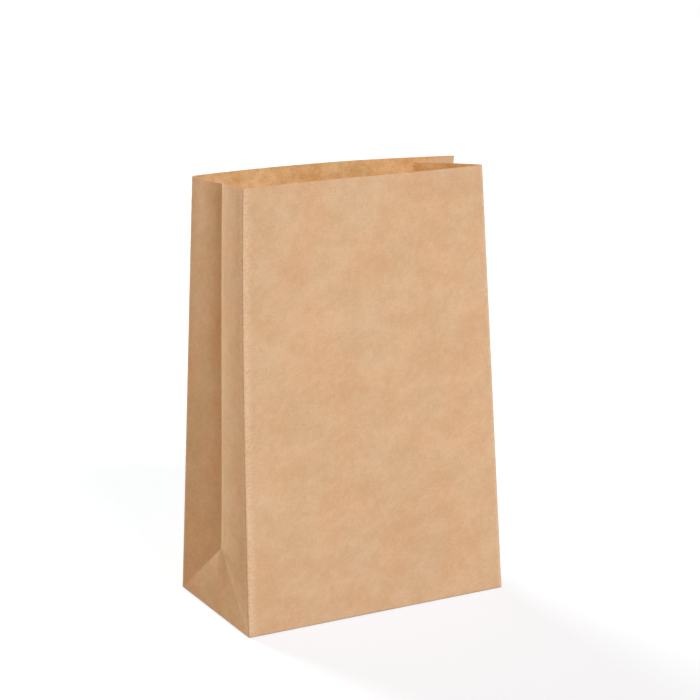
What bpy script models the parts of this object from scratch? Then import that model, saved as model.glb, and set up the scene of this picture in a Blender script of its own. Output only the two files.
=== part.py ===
"""A kraft paper bag with side gussets and a flat block bottom.

One sheet is folded into a tube with a glued lap seam up its back, and the foot is
closed by folded and glued flaps, so the bag is one piece. Metres, +Z up. The origin
is the centre of the foot, and the front panel faces -Y.
"""

import math

import bmesh
import bpy
import numpy as np
from mathutils import Vector

# The bag, measured over its foot and up its folds
WIDTH = 0.150
DEPTH = 0.074
HEIGHT = 0.218
PAPER = 0.00016

# Glued laps: the seam up the back, and the two long flaps under the foot
SEAM_LAP = 0.012
SEAM_FROM_CENTRE = 0.0
FLAP_LAP = 0.015

# How far the curve of a pressed fold reaches along each panel
FOLD_REACH = 0.0012

# Where each corner of the mouth stands, from the point above its own foot corner
MOUTH_SHIFT = {
    "front_left": Vector((-0.0062, 0.0040, 0.0014)),
    "front_right": Vector((-0.0072, 0.0278, 0.0013)),
    "back_right": Vector((0.0032, -0.0057, -0.0005)),
    "back_left": Vector((0.0035, 0.0027, -0.0047)),
}

# How far the front left fold bows outwards. A lean over 1 puts the most of the bow above
# halfway up, and a roundness under 1 makes its middle flatter
FRONT_LEFT_BOW = 0.00124
FOLD_BOW_LEAN = 1.3
FOLD_BOW_ROUNDNESS = 0.6

# How far the back panel bows outwards at the mouth, and the front panel halfway up.
# The back panel's bow grows from the foot by this power of the rise
BACK_BOW = 0.008
BACK_BOW_GROWTH = 1.5
FRONT_BOW = 0.001

# Height of the apex where the two slanting creases of a foot triangle meet
FOOT_TRIANGLE = 0.0332

# How far each gusset's middle crease lies inwards, at the apex and at the mouth
LEFT_CREASE_IN = (0.0039, 0.0030)
RIGHT_CREASE_IN = (0.0115, 0.0305)
LEFT_CREASE_DROP = 0.0007

# How much further in both creases bow, which is most a little above the apex
CREASE_BOW = 0.00045

# How far a gusset's front half and back half bow outwards between fold and crease, at
# the foot and at the mouth
GUSSET_BOW = {"front": (0.0012, 0.0012), "back": (0.0, 0.0014)}

# Mesh rows and columns
FOOT_ROWS = 4
WALL_ROWS = 8
PANEL_STEPS = 4

KRAFT_COLOUR = (0.686, 0.429, 0.246, 1.0)
KRAFT_ROUGHNESS = 0.85

# The foot's flaps are up to three plies deep, so the walls start two plies up
FOOT_LEVEL = 2 * PAPER
TAB_LENGTH = DEPTH / 2 + FLAP_LAP / 2

CORNER_SIDES = {
    "front_left": (-1, -1),
    "front_right": (1, -1),
    "back_right": (1, 1),
    "back_left": (-1, 1),
}


def fold_point(corner, rise):
    """A point on a corner fold, with rise going from 0 at the foot to 1 at the mouth."""
    side_x, side_y = CORNER_SIDES[corner]
    foot = Vector((side_x * WIDTH / 2, side_y * DEPTH / 2, FOOT_LEVEL))
    mouth = Vector((foot.x, foot.y, HEIGHT)) + MOUTH_SHIFT[corner]
    point = foot.lerp(mouth, rise)
    if corner == "front_left":
        arch = math.sin(math.pi * rise**FOLD_BOW_LEAN)
        point.x -= FRONT_LEFT_BOW * arch**FOLD_BOW_ROUNDNESS
    return point


def crease_point(side, rise):
    """A point on a gusset's middle crease, between the apex and the mouth."""
    if side == "left":
        front, back = fold_point("front_left", rise), fold_point("back_left", rise)
        depths, drop = LEFT_CREASE_IN, LEFT_CREASE_DROP
    else:
        front, back = fold_point("front_right", rise), fold_point("back_right", rise)
        depths, drop = RIGHT_CREASE_IN, 0.0
    along = (back - front).to_2d().normalized()
    inward = Vector((along.y, -along.x, 0)) * (1 if side == "left" else -1)
    share = (rise - apex_rise()) / (1 - apex_rise())
    depth = depths[0] + (depths[1] - depths[0]) * share
    depth += CREASE_BOW * math.sin(math.pi * math.sqrt(share))
    point = front.lerp(back, 0.5) + inward * depth
    point.z -= drop * share
    return point


def apex_rise():
    return (FOOT_TRIANGLE - FOOT_LEVEL) / (HEIGHT - FOOT_LEVEL)


def row_rises():
    """The rise of every mesh row: the rows of the foot triangles, then those above."""
    foot = [apex_rise() * k / FOOT_ROWS for k in range(FOOT_ROWS)]
    above = [apex_rise() + (1 - apex_rise()) * k / WALL_ROWS for k in range(WALL_ROWS + 1)]
    return foot + above


def panel_shares():
    """Column places across the front and back panels, from 0 at left to 1 at right.

    Columns stand on the seam's two edges and on the cut ends of the foot's tabs.
    """
    places = {
        "seam_left": SEAM_FROM_CENTRE - SEAM_LAP / 2,
        "seam_right": SEAM_FROM_CENTRE + SEAM_LAP / 2,
        "tab_left": -WIDTH / 2 + TAB_LENGTH,
        "tab_right": WIDTH / 2 - TAB_LENGTH,
    }
    for step in range(1, PANEL_STEPS):
        places[f"left_{step}"] = -WIDTH / 2 + TAB_LENGTH * step / PANEL_STEPS
        places[f"right_{step}"] = WIDTH / 2 - TAB_LENGTH * step / PANEL_STEPS
    names = sorted(places, key=places.get)
    return names, [0.5 + places[name] / WIDTH for name in names]


def panel_point(panel, share, rise):
    """A point on the front or back panel, where share goes from left to right."""
    left, right = fold_point(panel + "_left", rise), fold_point(panel + "_right", rise)
    point = left.lerp(right, share)
    across = 4 * share * (1 - share)
    if panel == "back":
        point.y += BACK_BOW * across * rise**BACK_BOW_GROWTH
    else:
        point.y -= FRONT_BOW * across * math.sin(math.pi * rise)
    return point


def pressed_fold(corner, rise, before, after):
    """Three points that round a fold off between its two neighbouring directions."""
    tip = fold_point(corner, rise)
    start = tip + (before - tip).normalized() * FOLD_REACH
    end = tip + (after - tip).normalized() * FOLD_REACH
    middle = start * 0.25 + tip * 0.5 + end * 0.25
    return [start, middle, end]


def panel_row(panel, rise, shares):
    """A panel's row with the folds at both its ends, in anticlockwise order from above."""
    inner = [panel_point(panel, share, rise) for share in shares]
    corners = [panel + "_left", panel + "_right"]
    if panel == "back":
        inner.reverse()
        corners.reverse()
    gusset_rise = max(rise, apex_rise())
    first_side, last_side = (corner.split("_")[1] for corner in corners)
    before = crease_point(first_side, gusset_rise)
    after = crease_point(last_side, gusset_rise)
    before.z = after.z = fold_point(corners[0], rise).z
    if rise == 0:
        before = fold_point(("back_" if panel == "front" else "front_") + first_side, 0)
        after = fold_point(("back_" if panel == "front" else "front_") + last_side, 0)
    first = pressed_fold(corners[0], rise, before, inner[0])
    last = pressed_fold(corners[1], rise, inner[-1], after)
    return first + inner + last


def steps_between(a, b, count, bow=0.0):
    """The points from a to b, a left out, in this many steps, bowed outwards by bow."""
    outward = (b - a).cross(Vector((0, 0, 1))).normalized()
    shares = [step / count for step in range(1, count + 1)]
    return [a.lerp(b, share) + outward * bow * 4 * share * (1 - share) for share in shares]


def gusset_bow(half, rise, share):
    """How far a half of a gusset bows outwards in this row.

    Below the apex the bow shrinks with the row's share of the foot triangle's height.
    """
    at_foot, at_mouth = GUSSET_BOW[half]
    return (at_foot + (at_mouth - at_foot) * rise) * share**2


def side_row(side, row, rise, start, end, foot_start, foot_end):
    """A gusset's row from one fold to the next, which turns at the middle crease.

    Below the apex it turns at the two slanting creases of the foot triangle, which run
    from the foot's corners to the apex.
    """
    steps = min(row, FOOT_ROWS)
    share = steps / FOOT_ROWS
    first_bow, last_bow = (gusset_bow(half, rise, share) for half in ("front", "back"))
    if side == "left":
        first_bow, last_bow = last_bow, first_bow
    if row < FOOT_ROWS:
        apex = crease_point(side, apex_rise())
        first, last = foot_start.lerp(apex, share), foot_end.lerp(apex, share)
    else:
        first = last = crease_point(side, rise)
    return (
        [start]
        + steps_between(start, first, steps, first_bow)
        + steps_between(first, last, 2 * (FOOT_ROWS - steps))
        + steps_between(last, end, steps, last_bow)
    )


def face_between(mesh, lower, upper, turn=0):
    """Triangles between two rows of as many vertices, two to a step.

    Their diagonals rise forwards up to the turn and backwards after it, so that in a
    gusset the slanting creases run along them.
    """
    faces = []
    for i in range(len(lower) - 1):
        a, b, c, d = lower[i], lower[i + 1], upper[i + 1], upper[i]
        rings = ((a, b, c), (a, c, d)) if i < turn else ((a, b, d), (b, c, d))
        faces += [mesh.faces.new(ring) for ring in rings]
    return faces


def build_walls(mesh):
    """The four walls as one surface. It gives the foot's ring, by part, and the seam."""
    names, shares = panel_shares()
    seam_at = len(names) - 1 - names.index("seam_right") + 3
    rises = row_rises()
    seam_faces = []
    below = None
    for row, rise in enumerate(rises):
        front = [mesh.verts.new(p) for p in panel_row("front", rise, shares)]
        back = [mesh.verts.new(p) for p in panel_row("back", rise, shares)]
        if below is None:
            ends = {"right": (front[-1].co, back[0].co), "left": (back[-1].co, front[0].co)}
        sides = {}
        for side, start, end in (("right", front[-1], back[0]), ("left", back[-1], front[0])):
            points = side_row(side, row, rise, start.co, end.co, *ends[side])
            sides[side] = [start] + [mesh.verts.new(p) for p in points[1:-1]] + [end]
        if below:
            face_between(mesh, below["front"], front)
            back_faces = face_between(mesh, below["back"], back)
            seam_faces += back_faces[2 * seam_at : 2 * seam_at + 2]
            for side in ("right", "left"):
                face_between(mesh, below[side], sides[side], FOOT_ROWS)
        else:
            foot = {"front": front, "back": back, **sides}
        below = {"front": front, "back": back, **sides}
    return foot, seam_faces


def build_foot(mesh, foot):
    """The foot's floor, parted along the edges of its folded flaps and tabs."""
    names, _ = panel_shares()
    front_cut = [3 + names.index("tab_left"), 3 + names.index("tab_right")]
    last = len(foot["back"]) - 1
    back_cut = [last - cut for cut in reversed(front_cut)]

    meet = WIDTH / 2 - DEPTH / 2
    reach = WIDTH / 2 - TAB_LENGTH
    left_meet = mesh.verts.new((-meet, 0, FOOT_LEVEL))
    right_meet = mesh.verts.new((meet, 0, FOOT_LEVEL))
    left_end = mesh.verts.new((-reach, -FLAP_LAP / 2, FOOT_LEVEL))
    right_end = mesh.verts.new((reach, -FLAP_LAP / 2, FOOT_LEVEL))

    front, back = foot["front"], foot["back"]
    rings = {
        "front_left": front[1 : front_cut[0] + 1] + [left_end, left_meet],
        "front_middle": front[front_cut[0] : front_cut[1] + 1] + [right_end, left_end],
        "front_right": front[front_cut[1] : -1] + [right_meet, right_end],
        "right": [front[-2]] + foot["right"] + [back[1], right_meet],
        "back_right": back[1 : back_cut[0] + 1] + [right_end, right_meet],
        "back_middle": back[back_cut[0] : back_cut[1] + 1] + [left_end, right_end],
        "back_left": back[back_cut[1] : -1] + [left_meet, left_end],
        "left": [back[-2]] + foot["left"] + [front[1], left_meet],
    }
    return {name: mesh.faces.new(reversed(ring)) for name, ring in rings.items()}


def inward_offset(vertex):
    """The move that puts a vertex one ply inside every face it belongs to."""
    normals = np.array([face.normal for face in vertex.link_faces])
    plies = np.full(len(normals), -PAPER)
    move = np.linalg.lstsq(normals, plies, rcond=0.1)[0]
    return Vector(move)


def add_inside(mesh):
    """Gives the sheet its thickness, and returns the inner twin of each outer face."""
    mesh.normal_update()
    outer = list(mesh.faces)
    rim = [edge for edge in mesh.edges if edge.is_boundary]
    moved = {v: v.co + inward_offset(v) for v in mesh.verts}
    twin = {v: mesh.verts.new(place) for v, place in moved.items()}
    inner = {face: mesh.faces.new([twin[v] for v in reversed(face.verts)]) for face in outer}
    for edge in rim:
        loop = edge.link_loops[0]
        a, b = loop.vert, loop.link_loop_next.vert
        mesh.faces.new((b, a, twin[a], twin[b]))
    return inner


def add_ply(mesh, faces, move):
    """Glues one more ply on to these faces, each of whose vertices is moved by move."""
    made = bmesh.ops.extrude_face_region(mesh, geom=faces)["geom"]
    bmesh.ops.delete(mesh, geom=faces, context="FACES")
    for item in made:
        if isinstance(item, bmesh.types.BMVert):
            item.co += move(item.co)
    return [item for item in made if isinstance(item, bmesh.types.BMFace)]


def down_one_ply(_):
    return Vector((0, 0, -PAPER))


def out_one_ply(_):
    return Vector((0, PAPER, 0))


def up_one_ply(place):
    """Up by a ply, and clear of the walls by two."""
    return Vector((-4 * PAPER * place.x / WIDTH, -4 * PAPER * place.y / DEPTH, PAPER))


def build_bag():
    mesh = bmesh.new()
    foot, seam = build_walls(mesh)
    floor = build_foot(mesh, foot)
    inner = add_inside(mesh)

    for side in ("left", "right"):
        tab = [inner[floor[name]] for name in (side, "front_" + side, "back_" + side)]
        add_ply(mesh, tab, up_one_ply)
    add_ply(mesh, seam, out_one_ply)
    front_flap = [floor["front_" + place] for place in ("left", "middle", "right")]
    back_flap = [floor["back_" + place] for place in ("left", "middle", "right")]
    flaps = add_ply(mesh, front_flap + back_flap, down_one_ply)
    outermost = [face for face in flaps if face.calc_center_median().y > 0]
    add_ply(mesh, outermost, down_one_ply)

    data = bpy.data.meshes.new("paper_bag")
    mesh.to_mesh(data)
    mesh.free()
    return data


def kraft_material():
    material = bpy.data.materials.new("kraft_paper")
    material.use_nodes = True
    shader = material.node_tree.nodes["Principled BSDF"]
    shader.inputs["Base Color"].default_value = KRAFT_COLOUR
    shader.inputs["Roughness"].default_value = KRAFT_ROUGHNESS
    shader.inputs["Metallic"].default_value = 0.0
    return material


def main():
    for old in list(bpy.data.objects):
        bpy.data.objects.remove(old, do_unlink=True)
    data = build_bag()
    data.materials.append(kraft_material())
    bag = bpy.data.objects.new("paper_bag", data)
    bpy.context.scene.collection.objects.link(bag)
    data.shade_smooth()
    data.set_sharp_from_angle(angle=math.radians(20))


main()
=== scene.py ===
"""The looks of a kraft paper bag: one sheet, folded and glued, that stands open on its foot.

Metres, in the frame's own axes: +Z up through the mouth, and the front panel faces -Y.
"""

import math

import bmesh
import bpy
from mathutils import Matrix, Vector, noise


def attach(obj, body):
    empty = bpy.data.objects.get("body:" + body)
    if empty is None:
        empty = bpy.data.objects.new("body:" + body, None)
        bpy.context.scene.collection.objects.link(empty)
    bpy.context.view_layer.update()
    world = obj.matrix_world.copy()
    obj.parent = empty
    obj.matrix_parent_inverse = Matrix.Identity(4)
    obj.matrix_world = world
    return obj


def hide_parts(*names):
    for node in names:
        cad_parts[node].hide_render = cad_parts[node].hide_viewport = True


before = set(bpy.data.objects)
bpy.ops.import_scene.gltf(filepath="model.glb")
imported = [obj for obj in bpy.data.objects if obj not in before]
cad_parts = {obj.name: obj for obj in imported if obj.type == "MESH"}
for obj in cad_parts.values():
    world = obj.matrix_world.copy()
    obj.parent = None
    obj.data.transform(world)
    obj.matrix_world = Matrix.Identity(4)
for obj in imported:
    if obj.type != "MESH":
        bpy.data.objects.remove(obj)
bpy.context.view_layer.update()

# The bag. Its sizes are those of the frame, and finer forms are added to them here.
WIDTH = 0.150
DEPTH = 0.074
HEIGHT = 0.218
PAPER = 0.00016
SEAM_LAP = 0.012
FLAP_LAP = 0.015
FOLD_REACH = 0.0012
MOUTH_SHIFT = {
    "front_left": Vector((-0.0062, 0.0040, 0.0014)),
    "front_right": Vector((-0.0072, 0.0278, 0.0013)),
    "back_right": Vector((0.0032, -0.0057, -0.0005)),
    "back_left": Vector((0.0035, 0.0027, -0.0047)),
}

# How far the front left fold and the two panels bow outwards
FRONT_LEFT_BOW = 0.00124
FOLD_BOW_LEAN = 1.3
FOLD_BOW_ROUNDNESS = 0.6
BACK_BOW = 0.008
BACK_BOW_GROWTH = 1.5
FRONT_BOW = 0.001

# The gussets: the height of the foot triangle, how far in the middle crease is at the
# apex and at the mouth, how far its top end drops, and how far the crease bows inwards
FOOT_TRIANGLE = 0.0332
CREASE_IN = {"left": (0.0039, 0.0030), "right": (0.0115, 0.0305)}
CREASE_DROP = {"left": 0.0007, "right": 0.0008}
CREASE_BOW = 0.00045

# How far each half of a gusset bows outwards at the foot and at the mouth, and how far
# the foot triangle does
GUSSET_BOW = {"front": (0.0012, 0.0012), "back": (0.0, 0.0014)}
FOOT_TRIANGLE_BOW = 0.0006

# Each corner's side along X and Y
CORNER_SIDES = {
    "front_left": (-1, -1),
    "front_right": (1, -1),
    "back_right": (1, 1),
    "back_left": (-1, 1),
}

# Worked out from the sizes
FOOT_LEVEL = 2 * PAPER
TAB_LENGTH = DEPTH / 2 + FLAP_LAP / 2
APEX_RISE = (FOOT_TRIANGLE - FOOT_LEVEL) / (HEIGHT - FOOT_LEVEL)

# Places along the sheet are measured round the bag from the front left fold. Those of the
# left gusset are below 0, so the paper's pattern only breaks at the back left fold.
ROUND_THE_BAG = 2 * (WIDTH + DEPTH)

# How fine the mesh of the sheet is
GUSSET_HALF = 24
WALL_ROWS = 88
PANEL_COLUMNS = 64
PANEL_GRADING = 0.55
FOLD_STEPS = 4
FLAP_STEPS = 24
SEAM_COLUMNS = 16

# Waves of the paper, as (height, size), the step between their patterns, and how far the
# folds hold the paper flat
WAVES = ((0.0005, 0.055), (0.00016, 0.022), (0.00003, 0.009))
WAVE_STEP = Vector((7.3, 1.9, 4.1))
HELD_FLAT = 0.014

# The ripple of the front panel's top edge, and the power at which it grows up the panel
MOUTH_WAVE = 0.0012
MOUTH_WAVE_GROWTH = 4

# The folds: the pressed width of a crease, how wide the wear beside a fold is, how wide
# the paler band beside the front left fold is, which is wear and a painted highlight, and
# the height over which a corner fold turns from the foot to its gusset. A slanting crease
# is nearer than it is along a row, by the share in SLANT.
CREASE_WIDTH = 0.00025
WORN_STRIP = 0.0016
FRONT_LEFT_WEAR_AND_HIGHLIGHT_STRIP = 0.005
FOLD_TURN = 0.006
SLANT = 0.707

# How far the folds turn in under the foot. The upper and the lower face of a flap are
# drawn in by these multiples of it.
FOLD_UNDER = 0.0002
FLAP_UNDER = (1.0, 1.6)

# How far the seam's lap stands proud at the side without the cut edge, and how much
# further it climbs from there, both in plies, and how long that climb is
SEAM_PROUD = 0.15
SEAM_CLIMB = 0.9
SEAM_STEP = 0.002

# The pulp's patches, as (width and height, detail, angle), and the range that each
# pattern's values are stretched from. Clouds are broad and small patches together.
BROAD_PATCHES = ((0.017, 0.012), 3.0)
SMALL_PATCHES = ((0.0052, 0.0040), 2.0, 0.4)
TINT_PATCHES = ((0.060, 0.045), 1.0, 0.9)
HUE_PATCHES = ((0.026, 0.030), 3.0, 2.1)
PATCH_ROUGHNESS = 0.55
BROAD_SHARE = 0.62
CLOUD_RANGE = (0.33, 0.67)
TINT_RANGE = (0.35, 0.65)
HUE_RANGE = (0.36, 0.64)

# Fibres, as (angle, length), then the specks of bark and the fine tooth of the surface
FIBRES = ((0.06, 0.0042), (1.54, 0.0036), (0.45, 0.0028), (2.70, 0.0026), (1.15, 0.0028))
FIBRE_WIDTH = 0.00050
FIBRE_RANGE = (1.9, 3.1)
SPECKS = ((0.0011, 0.0004), 0.0, 1.3)
SPECK_RANGE = (0.80, 0.88)
TOOTH_SIZE = 0.0004

# How strongly each pattern shows in the colour and in the relief. RELIEF is in metres.
CLOUD_SHARE = 0.8
HUE_COLOUR = (1.02, 0.955, 0.92, 1)
SPECK_COLOUR = (0.30, 0.15, 0.07, 1)
SPECK_STRENGTH = 0.45
# The fold wear mask is stretched from this range. Beside the front left fold it is a painted
# highlight as well as wear.
WEAR_AND_HIGHLIGHT_RANGE = (0.05, 0.8)
FIBRE_STRENGTH = {"outside": 0.75, "inside": 0.6, "cut_edge": 0.6}
CLOUD_RELIEF = 1.5
TOOTH_RELIEF = 0.6
RELIEF = {"outside": 0.00004, "inside": 0.00005, "cut_edge": 0.00002}
PAPER_ROUGHNESS = (0.82, 0.92)
PAPER_SPECULAR = 0.25

# The pale, dark and worn colour of each side of the paper. Beside the front left fold the worn
# colour is also a painted highlight.
PAPER_COLOURS = {
    "outside": ((0.727, 0.489, 0.292), (0.644, 0.408, 0.226), (0.78, 0.55, 0.35)),
    "inside": ((0.741, 0.480, 0.238), (0.532, 0.299, 0.109), (0.76, 0.50, 0.28)),
    "cut_edge": ((0.82, 0.60, 0.42), (0.72, 0.48, 0.30), (0.82, 0.60, 0.42)),
}

# The camera that the photograph was taken with, turned about the middle of the bag
CAMERA_AZIMUTH = math.radians(-31.471)
CAMERA_ELEVATION = math.radians(14.657)
CAMERA_ROLL = math.radians(2.108)
CAMERA_DISTANCE = 0.9370
CAMERA_RIGHT = -0.00105
CAMERA_UP = 0.01782
CAMERA_LENS = 95.41
SENSOR_WIDTH = 36

# Lamps, as azimuth and elevation in degrees, brightness on a white face, and colour
FRONT_LIGHT = (277, 38, 0.83, (0.955, 1.03, 1.165))
BACK_LEFT_LIGHT = (101, 30, 1.18, (0.91, 1.09, 1.22))
WARM_LEFT_LIGHT = (190, 8, 0.10, (1.25, 0.5, 0.0))
FILL_LIGHT = (0.268, 0.183, 0.083, 1.0)
LAMP_SPREAD = math.radians(28)

# The floor: its size, how far below the foot it is, its colour, and what it adds to look
# white to the camera
FLOOR_SIZE = 6
FLOOR_DROP = 0.0002
FLOOR_COLOUR = (0.33, 0.30, 0.25, 1)
FLOOR_ROUGHNESS = 0.9
FLOOR_GLOW_COLOUR = (0.97, 1.02, 1.1, 1)
FLOOR_GLOW = 0.66


def smooth(x):
    x = min(1.0, max(0.0, x))
    return x * x * (3 - 2 * x)


def graded(x, pull=0.8):
    """A share from 0 to 1 whose steps are shortest at both ends."""
    return x - pull * math.sin(2 * math.pi * x) / (2 * math.pi)


def even_hump(x):
    """0 at both ends and 1 in the middle."""
    return 4 * x * (1 - x)


def late_hump(x):
    """0 at both ends and 1 at two thirds, with a level start."""
    return 27 / 4 * x**2 * (1 - x)


# The shape of the sheet


def fold_point(corner, rise):
    side_x, side_y = CORNER_SIDES[corner]
    foot = Vector((side_x * WIDTH / 2, side_y * DEPTH / 2, FOOT_LEVEL))
    mouth = Vector((foot.x, foot.y, HEIGHT)) + MOUTH_SHIFT[corner]
    point = foot.lerp(mouth, rise)
    if corner == "front_left":
        arch = math.sin(math.pi * rise**FOLD_BOW_LEAN)
        point.x -= FRONT_LEFT_BOW * arch**FOLD_BOW_ROUNDNESS
    return point


def crease_point(side, rise):
    """A point on a gusset's middle crease, between the apex and the mouth."""
    front, back = fold_point("front_" + side, rise), fold_point("back_" + side, rise)
    along = (back - front).to_2d().normalized()
    inward = Vector((along.y, -along.x, 0)) * (1 if side == "left" else -1)
    share = (rise - APEX_RISE) / (1 - APEX_RISE)
    at_apex, at_mouth = CREASE_IN[side]
    depth = at_apex + (at_mouth - at_apex) * share
    depth += CREASE_BOW * math.sin(math.pi * math.sqrt(share))
    point = front.lerp(back, 0.5) + inward * depth
    point.z -= CREASE_DROP[side] * share
    return point


def panel_point(panel, share, rise):
    """A point on the front or back panel, where share goes from left to right."""
    left, right = fold_point(panel + "_left", rise), fold_point(panel + "_right", rise)
    point = left.lerp(right, share)
    across = even_hump(share)
    if panel == "back":
        point.y += BACK_BOW * across * rise**BACK_BOW_GROWTH
        outward = Vector((0, 1, 0))
    else:
        point.y -= FRONT_BOW * across * math.sin(math.pi * rise)
        point.y += MOUTH_WAVE * math.sin(2 * math.pi * share) * rise**MOUTH_WAVE_GROWTH
        outward = Vector((0, -1, 0))
    to_fold = min(share, 1 - share) * WIDTH
    freedom = smooth(to_fold / HELD_FLAT) * smooth(rise * HEIGHT / HELD_FLAT)
    return point + outward * paper_wave(point) * freedom


def paper_wave(point):
    """How far the paper stands proud of its even shape at this point."""
    proud = 0.0
    for number, (height, size) in enumerate(WAVES):
        proud += height * noise.noise(point / size + WAVE_STEP * number)
    return proud


def gusset_heading(corner, rise):
    """The point that the gusset beside this fold heads for, level with the fold."""
    side = corner.split("_")[1]
    facing = ("back_" if corner.startswith("front") else "front_") + side
    tip = fold_point(corner, rise)
    crease = crease_point(side, max(rise, APEX_RISE))
    crease.z = tip.z
    return fold_point(facing, 0).lerp(crease, smooth(rise * HEIGHT / FOLD_TURN))


def pressed_fold(corner, rise, before, after):
    """The rounded points of a corner fold between its two neighbouring directions."""
    tip = fold_point(corner, rise)
    start = tip + (before - tip).normalized() * FOLD_REACH
    end = tip + (after - tip).normalized() * FOLD_REACH
    points = []
    for step in range(FOLD_STEPS + 1):
        share = step / FOLD_STEPS
        points.append(start.lerp(tip, share).lerp(tip.lerp(end, share), share))
    return points


def panel_row(panel, rise):
    """A panel's row with both its folds, as (point, place on the panel, fold distance).

    It runs anticlockwise as seen from above.
    """
    edge = FOLD_REACH / WIDTH
    shares = [graded(k / PANEL_COLUMNS, PANEL_GRADING) for k in range(1, PANEL_COLUMNS)]
    shares = [edge + (1 - 2 * edge) * share for share in shares]
    corners = [panel + "_left", panel + "_right"]
    places = [share * WIDTH for share in shares]
    if panel == "back":
        shares.reverse()
        corners.reverse()
    inner = [panel_point(panel, share, rise) for share in shares]
    first = pressed_fold(corners[0], rise, gusset_heading(corners[0], rise), inner[0])
    last = pressed_fold(corners[1], rise, inner[-1], gusset_heading(corners[1], rise))
    row = []
    for step, point in enumerate(first):
        row.append((point, (step / FOLD_STEPS * 2 - 1) * FOLD_REACH, 0.0))
    for point, place in zip(inner, places):
        row.append((point, place, min(place, WIDTH - place) - FOLD_REACH))
    for step, point in enumerate(last):
        row.append((point, WIDTH + (step / FOLD_STEPS * 2 - 1) * FOLD_REACH, 0.0))
    return row


def gusset_row(side, row, rise, start, end, foot_start, foot_end):
    """A gusset's row between two folds, as panel_row gives its own, with its ends left out.

    It turns at the middle crease. Below the apex it turns at the two slanting creases of
    the foot triangle instead, which run from the foot's corners to the apex.
    """
    shares = [graded(k / GUSSET_HALF) for k in range(GUSSET_HALF + 1)]
    steps = min(row, GUSSET_HALF)
    share = shares[steps]
    if row < GUSSET_HALF:
        apex = crease_point(side, APEX_RISE)
        first, last = foot_start.lerp(apex, share), foot_end.lerp(apex, share)
    else:
        first = last = crease_point(side, rise)
    halves = ("back", None, "front") if side == "left" else ("front", None, "back")
    places = [part * DEPTH / 2 for part in shares]
    places += [DEPTH - place for place in reversed(places[:-1])]
    turns = (places[steps], places[2 * GUSSET_HALF - steps])
    spans = (
        (start, first, 0.0, turns[0]),
        (first, last, turns[0], turns[1]),
        (last, end, turns[1], DEPTH),
    )
    points = []
    for column in range(1, 2 * GUSSET_HALF):
        place = places[column]
        span = 0 if column <= steps else 1 if column < 2 * GUSSET_HALF - steps else 2
        a, b, low, high = spans[span]
        part = (place - low) / (high - low)
        outward = (b - a).cross(Vector((0, 0, 1))).normalized()
        if span == 1:
            bow = FOOT_TRIANGLE_BOW * even_hump(part) * late_hump(share)
        else:
            bow = gusset_bow(halves[span], 1 - part if span else part, rise) * share**2
        point = a.lerp(b, part) + outward * bow
        to_crease = min(abs(place - turn) for turn in turns) * (SLANT if share < 1 else 1)
        to_fold = min(place, DEPTH - place, to_crease)
        freedom = smooth(to_fold / HELD_FLAT) * smooth(rise * HEIGHT / HELD_FLAT)
        far = min(place, DEPTH - place) if share < 1 else to_fold
        points.append((point + outward * paper_wave(point) * freedom, place, far))
    return points


def gusset_bow(half, part, rise):
    """How far a gusset's half bows outwards, where part goes from 0 at its fold to 1.

    The front half is evenly curved. The back half curves most beside the crease.
    """
    at_foot, at_mouth = GUSSET_BOW[half]
    bow = at_foot + (at_mouth - at_foot) * rise
    if half == "front":
        return bow * even_hump(part)
    return bow * late_hump(part)


def row_rises():
    foot = [APEX_RISE * graded(k / GUSSET_HALF) for k in range(GUSSET_HALF)]
    above = [APEX_RISE + (1 - APEX_RISE) * k / WALL_ROWS for k in range(WALL_ROWS + 1)]
    return foot + above


def new_surface():
    """An empty mesh with the sheet's own coordinates, its fold wear and painted highlight, and its
    crease weights.
    """
    mesh = bmesh.new()
    mesh.loops.layers.uv.new("sheet")
    mesh.verts.layers.float.new("fold_wear_and_highlight")
    mesh.edges.layers.float.new("bevel_weight_edge")
    return mesh


def mark_crease(mesh, a, b):
    edge = mesh.edges.get((a, b))
    edge[mesh.edges.layers.float["bevel_weight_edge"]] = 1.0


def lay_on_sheet(mesh, face, places):
    """Gives each corner of a face its place on the sheet."""
    sheet = mesh.loops.layers.uv["sheet"]
    for loop in face.loops:
        loop[sheet].uv = places[loop.vert]


def tucked(point, under=1.0):
    """A point of the foot, drawn in where the folds turn under the bag."""
    inwards = 2 * FOLD_UNDER * under
    return Vector((point.x * (1 - inwards / WIDTH), point.y * (1 - inwards / DEPTH), point.z))


def build_walls(mesh):
    """The four walls, row by row from the foot. It gives the foot's ring of vertices."""
    wear_and_highlight_mask = mesh.verts.layers.float["fold_wear_and_highlight"]
    rises = row_rises()
    lower = foot = corners = None
    for row, rise in enumerate(rises):
        front, back = panel_row("front", rise), panel_row("back", rise)
        ends = [front[-1][0], back[0][0], back[-1][0], front[0][0]]
        corners = corners or ends
        right = gusset_row("right", row, rise, *ends[:2], *corners[:2])
        left = gusset_row("left", row, rise, *ends[2:], *corners[2:])
        ring = []
        place_before = 0.0
        for part, length in ((front, WIDTH), (right, DEPTH), (back, WIDTH), (left, DEPTH)):
            ring += [(point, place_before + place, far) for point, place, far in part]
            place_before += length
        if not lower:
            ring = [(tucked(point), place, far) for point, place, far in ring]
        upper = [mesh.verts.new(point) for point, _, _ in ring]
        for vert, (_, place, far) in zip(upper, ring):
            # Paler along the folds: wear, and beside the front left fold a painted highlight as well
            vert[wear_and_highlight_mask] = 1 - smooth(far / wear_and_highlight_width(place))
        if lower:
            places = [place for _, place, _ in ring]
            bases = (len(front) - 1, len(front) + len(right) + len(back) - 1)
            join_rows(mesh, lower, upper, places, rises[row - 1 : row + 1], row, bases)
        else:
            foot = upper
        lower = upper
    return foot


def wear_and_highlight_width(place):
    """How wide the wear is beside the fold that is nearest to a place round the bag. Beside the
    front left fold the band is wider, and there it is a painted highlight as well as wear.
    """
    by_front_left = place < WIDTH / 2 or place > ROUND_THE_BAG - DEPTH / 2
    return FRONT_LEFT_WEAR_AND_HIGHLIGHT_STRIP if by_front_left else WORN_STRIP


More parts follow.
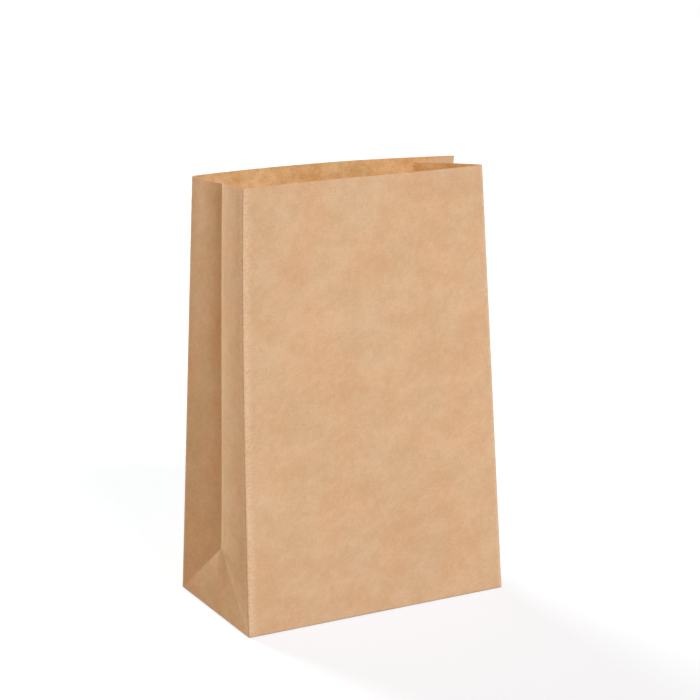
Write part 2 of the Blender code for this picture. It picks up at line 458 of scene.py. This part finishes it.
def join_rows(mesh, lower, upper, places, rises, row, bases):
    """The faces between two rows, with the gussets' creases marked.

    bases gives the column of each gusset's first fold. Below the apex, a gusset's
    slanting creases cross one cell of each row from corner to corner.
    """
    rising = {base + row - 1 for base in bases if row <= GUSSET_HALF}
    falling = {base + 2 * GUSSET_HALF - row for base in bases if row <= GUSSET_HALF}
    middles = {base + GUSSET_HALF for base in bases if row > GUSSET_HALF}
    for k, place in enumerate(places):
        after = (k + 1) % len(places)
        a, b, c, d = lower[k], lower[after], upper[after], upper[k]
        step = (places[after] - place) % ROUND_THE_BAG
        if place >= ROUND_THE_BAG - DEPTH:
            place -= ROUND_THE_BAG
        place_after = place + step
        low, high = (rise * HEIGHT for rise in rises)
        on_sheet = {a: (place, low), b: (place_after, low), c: (place_after, high), d: (place, high)}
        if k in rising:
            rings = ((a, b, c), (a, c, d))
        elif k in falling:
            rings = ((a, b, d), (b, c, d))
        else:
            rings = ((a, b, c, d),)
        for ring in rings:
            lay_on_sheet(mesh, mesh.faces.new(ring), on_sheet)
        if row > 1 and k in rising:
            mark_crease(mesh, a, c)
        if row > 1 and k in falling:
            mark_crease(mesh, b, d)
        if k in middles:
            mark_crease(mesh, a, d)


def build_floor(mesh, foot):
    floor = mesh.faces.new(reversed(foot))
    lay_on_sheet(mesh, floor, {vert: (vert.co.x, vert.co.y - DEPTH) for vert in foot})
    for edge in floor.edges:
        edge.smooth = False


def place_piece(name, mesh, materials):
    """Turns a finished mesh into a piece of the bag."""
    data = bpy.data.meshes.new(name)
    mesh.to_mesh(data)
    mesh.free()
    for material in materials:
        data.materials.append(material)
    piece = bpy.data.objects.new(name, data)
    bpy.context.scene.collection.objects.link(piece)
    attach(piece, "root")
    return piece


def give_thickness(piece):
    """One ply of paper under the surface. The inside and the cut edges have materials 1 and 2."""
    ply = piece.modifiers.new("ply", "SOLIDIFY")
    ply.thickness = PAPER
    ply.offset = -1
    ply.material_offset = 1
    ply.material_offset_rim = 2


def make_bag_sheet(outside, inside, cut_edge):
    """The walls and the floor, in one sheet."""
    mesh = new_surface()
    foot = build_walls(mesh)
    build_floor(mesh, foot)
    for face in mesh.faces:
        face.smooth = True
    for edge in mesh.edges:
        edge.smooth = edge.smooth and not edge.is_boundary
    piece = place_piece("bag_sheet", mesh, (outside, inside, cut_edge))
    press = piece.modifiers.new("pressed_creases", "BEVEL")
    press.limit_method = "WEIGHT"
    press.width = CREASE_WIDTH
    press.segments = 2
    press.use_clamp_overlap = False
    give_thickness(piece)
    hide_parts("paper_bag")


def make_seam_lap(outside, inside, cut_edge):
    """The end of the sheet that laps over the other, up the middle of the back panel.

    Its cut edge is on one side. On the other it comes up over the end beneath it.
    """
    mesh = new_surface()
    sheet = mesh.loops.layers.uv["sheet"]
    lower = None
    for rise in row_rises():
        upper = []
        for k in range(SEAM_COLUMNS + 1):
            across = k / SEAM_COLUMNS
            share = 0.5 + (0.5 - across) * SEAM_LAP / WIDTH
            proud = PAPER * (SEAM_PROUD + SEAM_CLIMB * smooth(across * SEAM_LAP / SEAM_STEP))
            point = panel_point("back", share, rise) + Vector((0, proud, 0))
            upper.append(mesh.verts.new(point))
        if lower:
            for k in range(SEAM_COLUMNS):
                face = mesh.faces.new((lower[k], lower[k + 1], upper[k + 1], upper[k]))
                face.smooth = True
                for loop in face.loops:
                    loop[sheet].uv = (loop.vert.co.x, loop.vert.co.z)
        lower = upper
    for edge in mesh.edges:
        edge.smooth = not edge.is_boundary
    piece = place_piece("seam_lap", mesh, (outside, inside, cut_edge))
    give_thickness(piece)


def make_flat_ply(name, corners, low, high, materials, cut_side):
    """A flat flap or tab between two levels, given by four corners anticlockwise from above.

    materials are those of its upper face, its lower face and its cut edge, which is the
    side after corner number cut_side. Its other sides are folds.
    """
    mesh = new_surface()
    wear_and_highlight_mask = mesh.verts.layers.float["fold_wear_and_highlight"]
    a, b, c, d = (Vector(corner) for corner in corners)
    levels = []
    for level, under in zip((high, low), FLAP_UNDER):
        grid = []
        for i in range(FLAP_STEPS + 1):
            start, end = a.lerp(d, graded(i / FLAP_STEPS)), b.lerp(c, graded(i / FLAP_STEPS))
            line = []
            for k in range(FLAP_STEPS + 1):
                spot = start.lerp(end, graded(k / FLAP_STEPS))
                vert = mesh.verts.new(tucked(Vector((spot.x, spot.y, level)), under))
                vert[wear_and_highlight_mask] = 1 - smooth(fold_distance(spot, (a, b, c, d), cut_side) / WORN_STRIP)
                line.append(vert)
            grid.append(line)
        levels.append(grid)
    top, bottom = levels
    for grid, material, way in ((top, 0, 1), (bottom, 1, -1)):
        for i in range(FLAP_STEPS):
            for k in range(FLAP_STEPS):
                ring = (grid[i][k], grid[i][k + 1], grid[i + 1][k + 1], grid[i + 1][k])
                mesh.faces.new(ring[::way]).material_index = material
    last = FLAP_STEPS
    rims = [
        [(0, k) for k in range(last + 1)],
        [(i, last) for i in range(last + 1)],
        [(last, k) for k in range(last, -1, -1)],
        [(i, 0) for i in range(last, -1, -1)],
    ]
    for side, rim in enumerate(rims):
        for (i, k), (j, m) in zip(rim, rim[1:]):
            face = mesh.faces.new((bottom[i][k], bottom[j][m], top[j][m], top[i][k]))
            face.material_index = 2 if side == cut_side else 1
    sheet = mesh.loops.layers.uv["sheet"]
    for face in mesh.faces:
        for loop in face.loops:
            loop[sheet].uv = (loop.vert.co.x, loop.vert.co.y - DEPTH)
    place_piece(name, mesh, materials)


def fold_distance(spot, corners, cut_side):
    """How far a spot of a flap is from its nearest fold."""
    distances = []
    for side in range(4):
        if side != cut_side:
            start, end = corners[side], corners[(side + 1) % 4]
            along = (end - start).normalized()
            distances.append(abs((spot - start).cross(along)))
    return min(distances)


def make_foot(outside, inside, cut_edge):
    """The foot's two long flaps, the back one lapped over the front one, and its end tabs."""
    side, end = WIDTH / 2, DEPTH / 2
    reach = side - TAB_LENGTH
    lap = FLAP_LAP / 2
    flap = (outside, outside, cut_edge)
    front_corners = [(-side, -end), (side, -end), (reach, lap), (-reach, lap)]
    back_corners = [(side, end), (-side, end), (-reach, -lap), (reach, -lap)]
    make_flat_ply("front_flap", front_corners, PAPER, FOOT_LEVEL, flap, 2)
    make_flat_ply("back_flap", back_corners, 0.0, PAPER, flap, 2)
    tab = (inside, inside, cut_edge)
    clear = 2 * PAPER
    near, far = side - clear, end - clear
    floor = FOOT_LEVEL + PAPER
    left_corners = [(-near, far), (-near, -far), (-reach, -far), (-reach, far)]
    right_corners = [(near, -far), (near, far), (reach, far), (reach, -far)]
    make_flat_ply("left_tab", left_corners, floor, floor + PAPER, tab, 2)
    make_flat_ply("right_tab", right_corners, floor, floor + PAPER, tab, 2)


# The finishes


def new_group(name, inputs, outputs):
    """An empty node group with these sockets, and its input and output nodes."""
    group = bpy.data.node_groups.new(name, "ShaderNodeTree")
    kinds = {"value": "NodeSocketFloat", "colour": "NodeSocketColor", "place": "NodeSocketVector"}
    for socket, kind, default in inputs:
        made = group.interface.new_socket(socket, in_out="INPUT", socket_type=kinds[kind])
        if default is not None:
            made.default_value = default
    for socket, kind in outputs:
        group.interface.new_socket(socket, in_out="OUTPUT", socket_type=kinds[kind])
    return group, group.nodes.new("NodeGroupInput"), group.nodes.new("NodeGroupOutput")


def add_node(tree, kind, values=None, **settings):
    """A node with its settings, and its input sockets set to values or joined to other sockets."""
    made = tree.nodes.new(kind)
    for name, setting in settings.items():
        setattr(made, name, setting)
    for name, value in (values or {}).items():
        if isinstance(value, bpy.types.NodeSocket):
            tree.links.new(value, made.inputs[name])
        else:
            made.inputs[name].default_value = value
    return made


def sum_of(tree, a, b, operation="ADD"):
    """Two values put together by one sum."""
    return add_node(tree, "ShaderNodeMath", {0: a, 1: b}, operation=operation).outputs[0]


def shared(tree, share, a, b):
    """This share of one value, and the rest of another."""
    first = sum_of(tree, a, share, "MULTIPLY")
    second = sum_of(tree, b, 1 - share, "MULTIPLY")
    return sum_of(tree, first, second)


def stretched(tree, value, low, high, to_low=0.0, to_high=1.0):
    """A value stretched so that low to high becomes to_low to to_high, and held there."""
    values = {"Value": value, "From Min": low, "From Max": high}
    values |= {"To Min": to_low, "To Max": to_high}
    return add_node(tree, "ShaderNodeMapRange", values).outputs["Result"]


def patches(tree, place, size, detail=2.0, angle=0.0):
    """Soft patches of this width and height on the sheet, as a value about one half."""
    turned = add_node(
        tree,
        "ShaderNodeMapping",
        {"Vector": place, "Rotation": (0, 0, angle), "Scale": (size[0], size[1], 1)},
        vector_type="TEXTURE",
    )
    values = {"Vector": turned.outputs[0], "Scale": 1.0, "Detail": detail}
    values["Roughness"] = PATCH_ROUGHNESS
    return add_node(tree, "ShaderNodeTexNoise", values, noise_dimensions="2D").outputs["Fac"]


def mixed_colour(tree, share, a, b, blend_type="MIX"):
    values = {"Factor": share, "A": a, "B": b}
    made = tree.nodes.new("ShaderNodeMix")
    made.data_type = "RGBA"
    made.blend_type = blend_type
    for name, value in values.items():
        socket = next(s for s in made.inputs if s.name == name and s.enabled)
        if isinstance(value, bpy.types.NodeSocket):
            tree.links.new(value, socket)
        else:
            socket.default_value = value
    return next(s for s in made.outputs if s.enabled)


def cloudy_pulp_group():
    """Uneven pulp: clouds, broad tints and patches of another hue, each from 0 to 1."""
    group, given, result = new_group(
        "cloudy_pulp",
        [("Sheet", "place", None)],
        [("Cloud", "value"), ("Tint", "value"), ("Hue", "value")],
    )
    place = given.outputs["Sheet"]
    broad = patches(group, place, *BROAD_PATCHES)
    small = patches(group, place, *SMALL_PATCHES)
    cloud = shared(group, BROAD_SHARE, broad, small)
    group.links.new(stretched(group, cloud, *CLOUD_RANGE), result.inputs["Cloud"])
    tint = patches(group, place, *TINT_PATCHES)
    group.links.new(stretched(group, tint, *TINT_RANGE), result.inputs["Tint"])
    hue = patches(group, place, *HUE_PATCHES)
    group.links.new(stretched(group, hue, *HUE_RANGE), result.inputs["Hue"])
    return group


def fibres_group():
    """Fine fibres that cross each other in the sheet, and small dark specks of bark."""
    group, given, result = new_group(
        "kraft_fibres",
        [("Sheet", "place", None)],
        [("Fibres", "value"), ("Specks", "value"), ("Height", "value")],
    )
    place = given.outputs["Sheet"]
    fibres = None
    for angle, length in FIBRES:
        lines = patches(group, place, (length, FIBRE_WIDTH), 1.0, angle)
        fibres = sum_of(group, fibres, lines) if fibres else lines
    fibres = stretched(group, fibres, *FIBRE_RANGE)
    group.links.new(fibres, result.inputs["Fibres"])
    specks = stretched(group, patches(group, place, *SPECKS), *SPECK_RANGE)
    group.links.new(specks, result.inputs["Specks"])
    tooth = patches(group, place, (TOOTH_SIZE, TOOTH_SIZE))
    height = sum_of(group, fibres, sum_of(group, tooth, TOOTH_RELIEF, "MULTIPLY"))
    group.links.new(height, result.inputs["Height"])
    return group


def kraft_colour_group(pulp, fibres):
    """The colour and the relief of kraft paper, from its pale, dark and worn colours. The worn
    colour is also a painted highlight beside the front left fold.
    """
    group, given, result = new_group(
        "kraft_colour",
        [
            ("Sheet", "place", None),
            ("Pale", "colour", (0.74, 0.48, 0.29, 1)),
            ("Dark", "colour", (0.62, 0.37, 0.19, 1)),
            ("Wear And Highlight Colour", "colour", (0.8, 0.55, 0.36, 1)),
            ("Fold Wear And Highlight", "value", 0.0),
            ("Fibre Strength", "value", 0.3),
        ],
        [("Colour", "colour"), ("Height", "value"), ("Roughness", "value")],
    )
    place = given.outputs["Sheet"]
    clouds = add_node(group, "ShaderNodeGroup", node_tree=pulp)
    lines = add_node(group, "ShaderNodeGroup", node_tree=fibres)
    for made in (clouds, lines):
        group.links.new(place, made.inputs["Sheet"])
    cloud, tint, fibre = clouds.outputs["Cloud"], clouds.outputs["Tint"], lines.outputs["Fibres"]
    lean = sum_of(group, fibre, 0.5, "SUBTRACT")
    lean = sum_of(group, lean, given.outputs["Fibre Strength"], "MULTIPLY")
    tone = sum_of(group, shared(group, CLOUD_SHARE, cloud, tint), lean)
    tone = stretched(group, tone, 0.0, 1.0)
    colour = mixed_colour(group, tone, given.outputs["Dark"], given.outputs["Pale"])
    colour = mixed_colour(group, clouds.outputs["Hue"], colour, HUE_COLOUR, "MULTIPLY")
    specked = sum_of(group, lines.outputs["Specks"], SPECK_STRENGTH, "MULTIPLY")
    colour = mixed_colour(group, specked, colour, SPECK_COLOUR)
    # Paler along the folds: wear, and beside the front left fold a painted highlight as well
    wear_and_highlight = sum_of(group, fibre, given.outputs["Fold Wear And Highlight"], "MULTIPLY")
    wear_and_highlight = stretched(group, wear_and_highlight, *WEAR_AND_HIGHLIGHT_RANGE)
    colour = mixed_colour(group, wear_and_highlight, colour, given.outputs["Wear And Highlight Colour"])
    group.links.new(colour, result.inputs["Colour"])
    height = sum_of(group, lines.outputs["Height"], sum_of(group, cloud, CLOUD_RELIEF, "MULTIPLY"))
    group.links.new(height, result.inputs["Height"])
    roughness = stretched(group, tone, 0.0, 1.0, *PAPER_ROUGHNESS)
    group.links.new(roughness, result.inputs["Roughness"])
    return group


def kraft_material(side, kraft):
    """One side of the paper with a Principled shader, placed by the sheet's coordinates."""
    pale, dark, wear_and_highlight = PAPER_COLOURS[side]
    material = bpy.data.materials.new("kraft_" + side)
    material.use_nodes = True
    tree = material.node_tree
    shader = tree.nodes["Principled BSDF"]
    sheet = add_node(tree, "ShaderNodeUVMap", uv_map="sheet")
    wear_and_highlight_mask = add_node(tree, "ShaderNodeAttribute", attribute_name="fold_wear_and_highlight")
    values = {
        "Sheet": sheet.outputs["UV"],
        "Pale": (*pale, 1),
        "Dark": (*dark, 1),
        "Wear And Highlight Colour": (*wear_and_highlight, 1),
        "Fold Wear And Highlight": wear_and_highlight_mask.outputs["Fac"],
        "Fibre Strength": FIBRE_STRENGTH[side],
    }
    made = tree.nodes.new("ShaderNodeGroup")
    made.node_tree = kraft
    for socket, value in values.items():
        if isinstance(value, bpy.types.NodeSocket):
            tree.links.new(value, made.inputs[socket])
        else:
            made.inputs[socket].default_value = value
    bumps = {"Distance": RELIEF[side], "Strength": 1.0, "Height": made.outputs["Height"]}
    bump = add_node(tree, "ShaderNodeBump", bumps)
    tree.links.new(made.outputs["Colour"], shader.inputs["Base Color"])
    tree.links.new(made.outputs["Roughness"], shader.inputs["Roughness"])
    tree.links.new(bump.outputs["Normal"], shader.inputs["Normal"])
    shader.inputs["Metallic"].default_value = 0.0
    shader.inputs["Specular IOR Level"].default_value = PAPER_SPECULAR
    return material


def make_materials():
    kraft = kraft_colour_group(cloudy_pulp_group(), fibres_group())
    return [kraft_material(side, kraft) for side in ("outside", "inside", "cut_edge")]


# The stage


def make_floor():
    """A pale floor that looks white where no shadow falls, and gives back little light."""
    bpy.ops.mesh.primitive_plane_add(size=FLOOR_SIZE, location=(0, 0, -FLOOR_DROP))
    floor = bpy.context.object
    floor.name = "studio_floor"
    material = bpy.data.materials.new("pale_floor")
    material.use_nodes = True
    tree = material.node_tree
    shader = tree.nodes["Principled BSDF"]
    shader.inputs["Base Color"].default_value = FLOOR_COLOUR
    shader.inputs["Roughness"].default_value = FLOOR_ROUGHNESS
    shader.inputs["Emission Color"].default_value = FLOOR_GLOW_COLOUR
    path = tree.nodes.new("ShaderNodeLightPath")
    seen = sum_of(tree, path.outputs["Is Camera Ray"], FLOOR_GLOW, "MULTIPLY")
    tree.links.new(seen, shader.inputs["Emission Strength"])
    floor.data.materials.append(material)


def make_world():
    """Even, warm light from all round. The camera sees it as plain white."""
    world = bpy.data.worlds.new("studio")
    bpy.context.scene.world = world
    world.use_nodes = True
    tree = world.node_tree
    background = tree.nodes["Background"]
    path = tree.nodes.new("ShaderNodeLightPath")
    seen = mixed_colour(tree, path.outputs["Is Camera Ray"], FILL_LIGHT, (1, 1, 1, 1))
    tree.links.new(seen, background.inputs["Color"])


def soft_light(name, azimuth, elevation, level, colour):
    """A broad lamp from this direction, which lights a white face square to it to this level."""
    lamp = bpy.data.lights.new(name, "SUN")
    lamp.energy = level * math.pi
    lamp.color = colour
    lamp.angle = LAMP_SPREAD
    light = bpy.data.objects.new(name, lamp)
    turn, lift = math.radians(azimuth), math.radians(elevation)
    level_part = Vector((math.cos(turn), math.sin(turn), 0)) * math.cos(lift)
    towards = level_part + Vector((0, 0, math.sin(lift)))
    light.rotation_euler = towards.to_track_quat("Z", "Y").to_euler()
    bpy.context.scene.collection.objects.link(light)


def make_camera():
    """The camera, which looks along its own -Z. Its roll turns it about that line."""
    azimuth, elevation = CAMERA_AZIMUTH, CAMERA_ELEVATION
    back = Vector(
        (
            math.sin(azimuth) * math.cos(elevation),
            -math.cos(azimuth) * math.cos(elevation),
            math.sin(elevation),
        )
    )
    right = (-back).cross(Vector((0, 0, 1))).normalized()
    up = right.cross(-back)
    place = Vector((0, 0, HEIGHT / 2)) + back * CAMERA_DISTANCE
    place += right * CAMERA_RIGHT + up * CAMERA_UP
    rolled_right = right * math.cos(CAMERA_ROLL) + up * math.sin(CAMERA_ROLL)
    rolled_up = up * math.cos(CAMERA_ROLL) - right * math.sin(CAMERA_ROLL)
    lens = bpy.data.cameras.new("camera")
    lens.lens = CAMERA_LENS
    lens.sensor_width = SENSOR_WIDTH
    camera = bpy.data.objects.new("camera", lens)
    turned = Matrix((rolled_right, rolled_up, back)).transposed().to_4x4()
    camera.matrix_world = Matrix.Translation(place) @ turned
    bpy.context.scene.collection.objects.link(camera)
    bpy.context.scene.camera = camera


outside, inside, cut_edge = make_materials()
make_bag_sheet(outside, inside, cut_edge)
make_seam_lap(outside, inside, cut_edge)
make_foot(outside, inside, cut_edge)
make_floor()
make_world()
soft_light("front_light", *FRONT_LIGHT)
soft_light("back_left_light", *BACK_LEFT_LIGHT)
soft_light("warm_left_light", *WARM_LEFT_LIGHT)
make_camera()
bpy.context.scene.view_settings.view_transform = "Standard"

bpy.context.view_layer.update()
